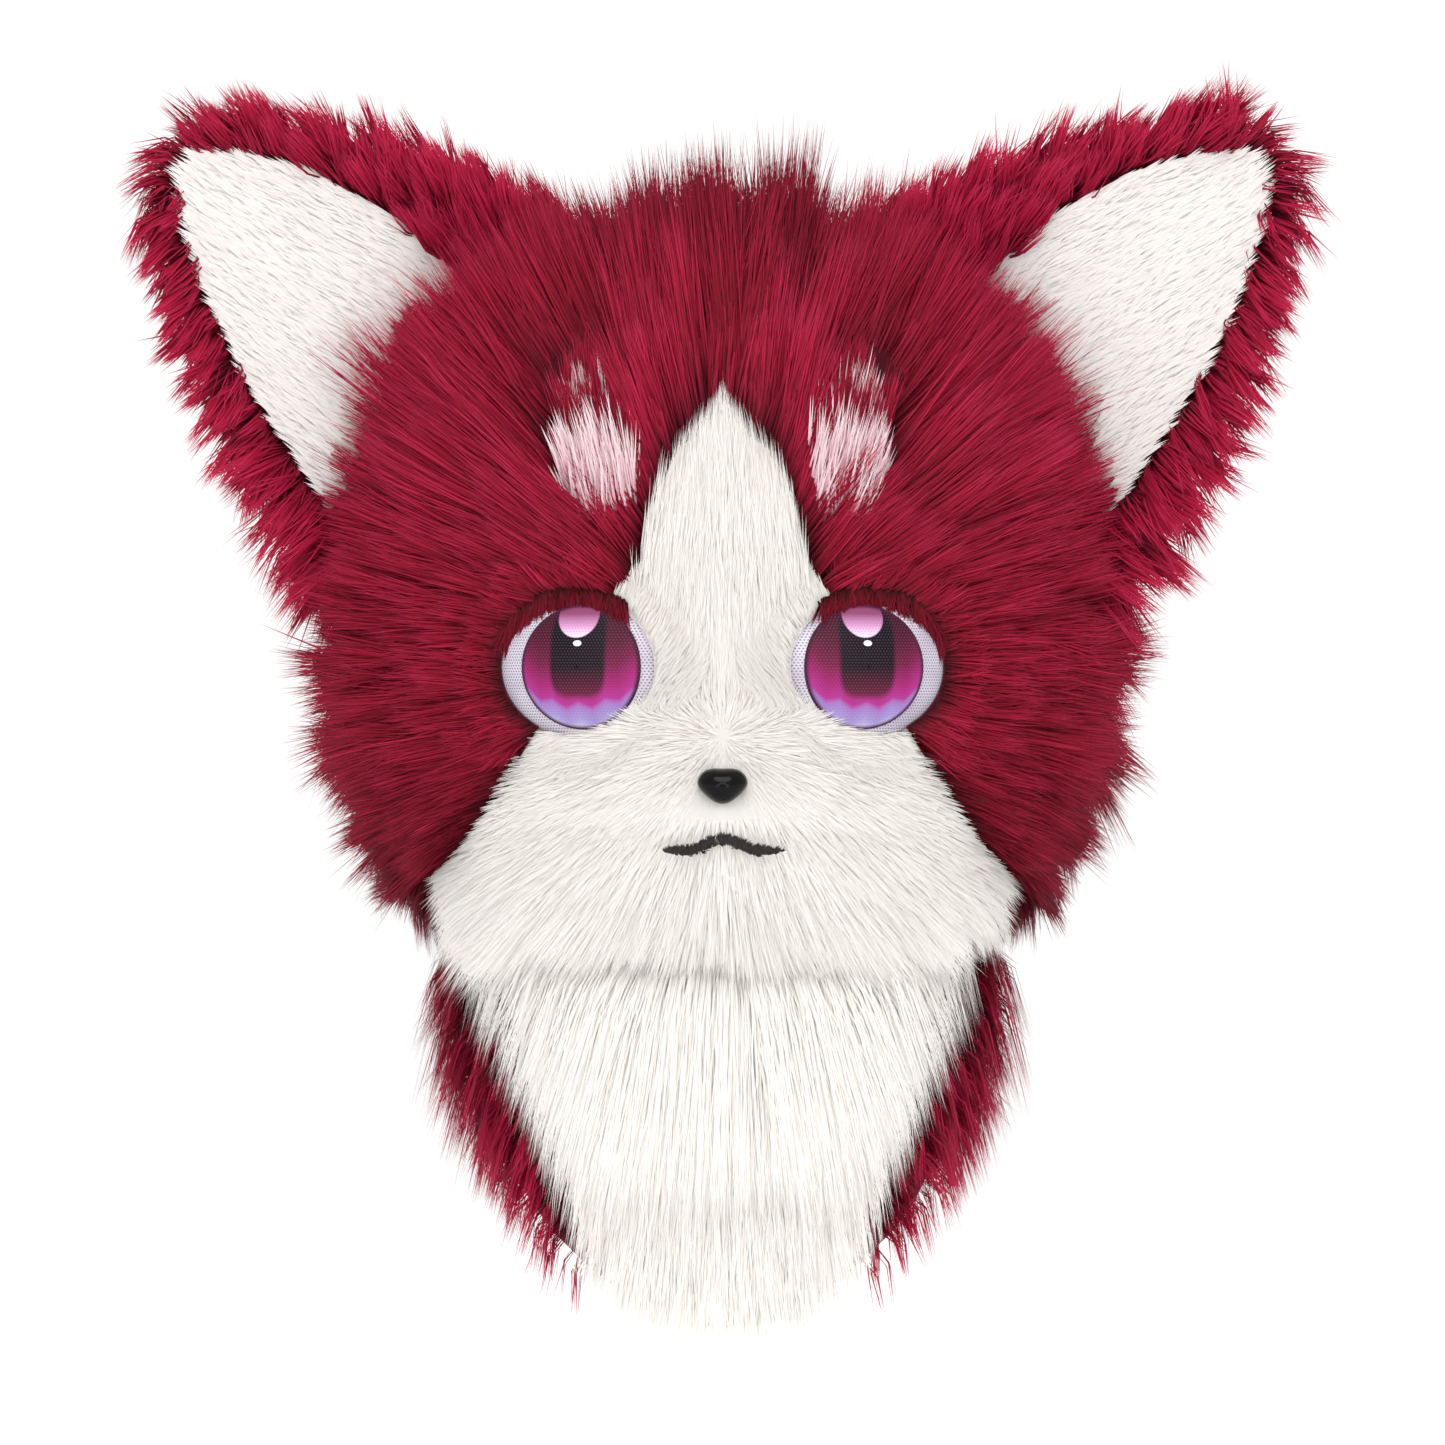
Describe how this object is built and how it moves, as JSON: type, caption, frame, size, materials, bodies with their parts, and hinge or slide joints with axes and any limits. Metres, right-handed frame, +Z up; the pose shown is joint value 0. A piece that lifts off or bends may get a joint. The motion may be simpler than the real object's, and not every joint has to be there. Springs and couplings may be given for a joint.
{
  "type": "fursuit head",
  "caption": "Hollow costume animal head with long crimson and short white fur, cupped upright ears, domed mesh eyes, a nose, a stitched mouth and a furred neck with a pointed bib.",
  "frame": {"origin": "where the wearer's crown meets the top of the hollow", "axes": "+Z up, -Y towards the face, +X towards the wearer's left"},
  "size_m": [0.4564, 0.3347, 0.5056],
  "materials": {
    "foam": "open-cell upholstery foam",
    "crimson_fur": "long faux fur with dark roots and lighter tips",
    "white_fur": "short white faux fur, longer on the bib",
    "brow_fur": "white faux fur that turns pink below",
    "white_plush": "short smooth plush",
    "eye_mesh": "fine pale see-through mesh",
    "iris_print": "printed on the same mesh, burgundy above and lavender below",
    "nose_plastic": "polished black",
    "mouth_stitching": "dense black stitching with fuzzy ends",
    "sleeve_cloth": "knitted backing cloth"
  },
  "bodies": {
    "root": {"foam_crown": "foam", "foam_face": "foam", "foam_back": "foam", "face_fur": "white_fur", "crown_fur": "crimson_fur", "cheek_fur_right": "crimson_fur", "cheek_fur_left": "crimson_fur", "back_fur": "crimson_fur", "brow_patch_right": "brow_fur", "brow_patch_left": "brow_fur", "ear_shell_right": "crimson_fur", "ear_shell_left": "crimson_fur", "ear_plush_right": "white_plush", "ear_plush_left": "white_plush", "eye_mesh_right": "eye_mesh", "eye_mesh_left": "eye_mesh", "iris_right": "iris_print", "iris_left": "iris_print", "nose": "nose_plastic", "mouth": "mouth_stitching", "neck_sleeve": "sleeve_cloth", "neck_fur": "crimson_fur", "bib_fur": "white_fur"}
  },
  "joints": []
}
